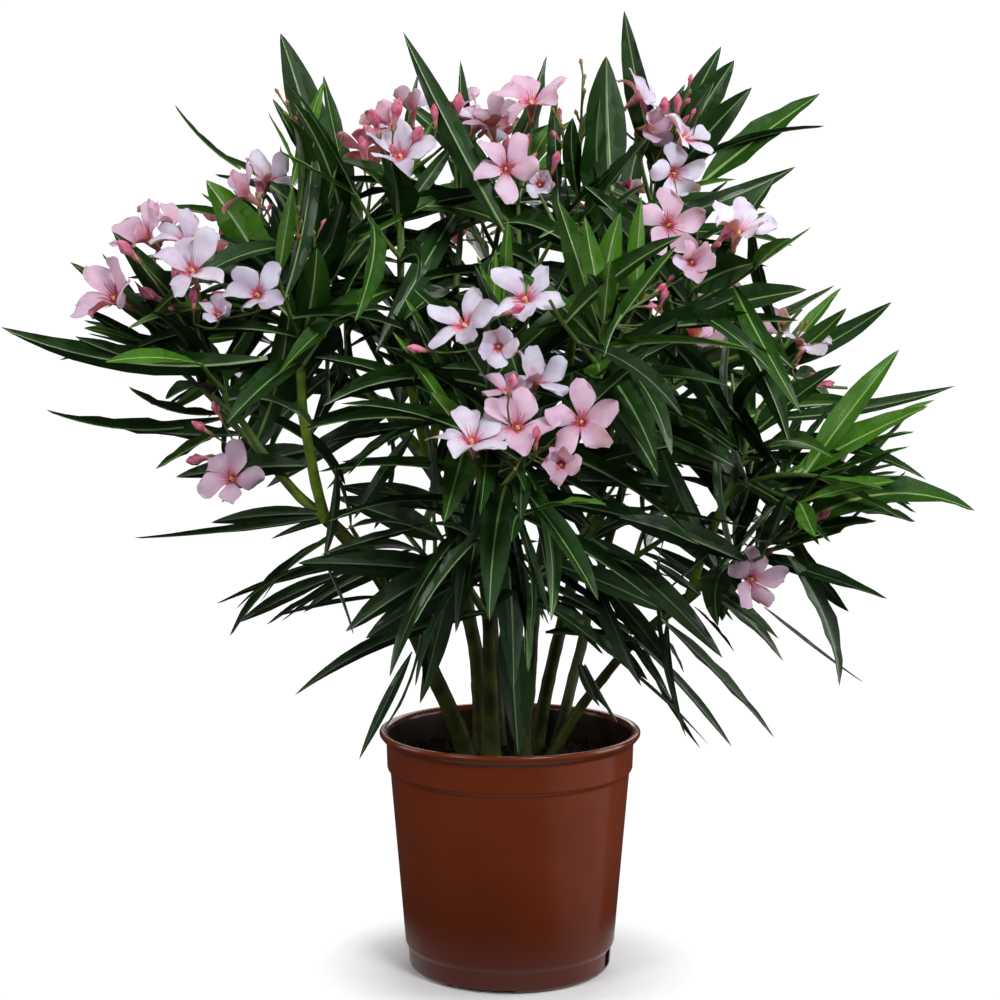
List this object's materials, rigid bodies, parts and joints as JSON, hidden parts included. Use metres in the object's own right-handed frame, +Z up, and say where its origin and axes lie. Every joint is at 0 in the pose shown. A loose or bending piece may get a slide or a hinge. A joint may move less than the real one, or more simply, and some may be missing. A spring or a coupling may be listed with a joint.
{
  "type": "potted oleander",
  "caption": "Bushy flowering shrub with lance-shaped leaves and loose heads of pink five-petalled flowers, growing from a tapered plastic nursery pot.",
  "frame": {"origin": "centre of the pot's flat underside", "axes": "+Z up through the pot, -Y towards the front, +X to the plant's right as seen from the front"},
  "size_m": [0.697, 0.5545, 0.728],
  "materials": {
    "pot": "semi-gloss red-brown moulded plastic",
    "soil": "dark crumbly potting soil, matt",
    "bark": "smooth green-grey young bark, browner low down",
    "foliage": "leathery dark green leaves with a pale midrib",
    "flower": "soft pale pink petals"
  },
  "bodies": {
    "root": {"pot": "pot", "soil": "soil", "stem_west": "bark", "stem_front": "bark", "stem_middle": "bark", "stem_centre": "bark", "stem_east": "bark", "stem_right": "bark", "stem_north": "bark", "stem_far": "bark", "bough_west": "bark", "bough_west_out": "bark", "bough_mid_left": "bark", "bough_mid_high": "bark", "bough_back_west": "bark", "bough_centre_top": "bark", "bough_centre_right": "bark", "bough_inner": "bark", "bough_east": "bark", "bough_right_top": "bark", "bough_right_high": "bark", "bough_right_mid": "bark", "bough_north": "bark", "west_low": "foliage", "west_out": "foliage", "west_up": "foliage", "west_mid": "foliage", "west_top": "foliage", "mid_left": "foliage", "mid_high": "foliage", "back_west": "foliage", "back_west_top": "foliage", "centre_top": "foliage", "centre_right": "foliage", "inner_front": "foliage", "front_low": "foliage", "front_high": "foliage", "east_low": "foliage", "east_fan": "foliage", "east": "foliage", "east_back": "foliage", "right_top": "foliage", "right_high": "foliage", "right_mid": "foliage", "right_back": "foliage", "north": "foliage", "north_top": "foliage", "north_low": "foliage", "far": "foliage", "far_top": "foliage", "skirt_west": "foliage", "skirt_west_back": "foliage", "skirt_front": "foliage", "skirt_centre": "foliage", "skirt_east": "foliage", "skirt_far": "foliage", "skirt_north": "foliage"}
  },
  "joints": []
}
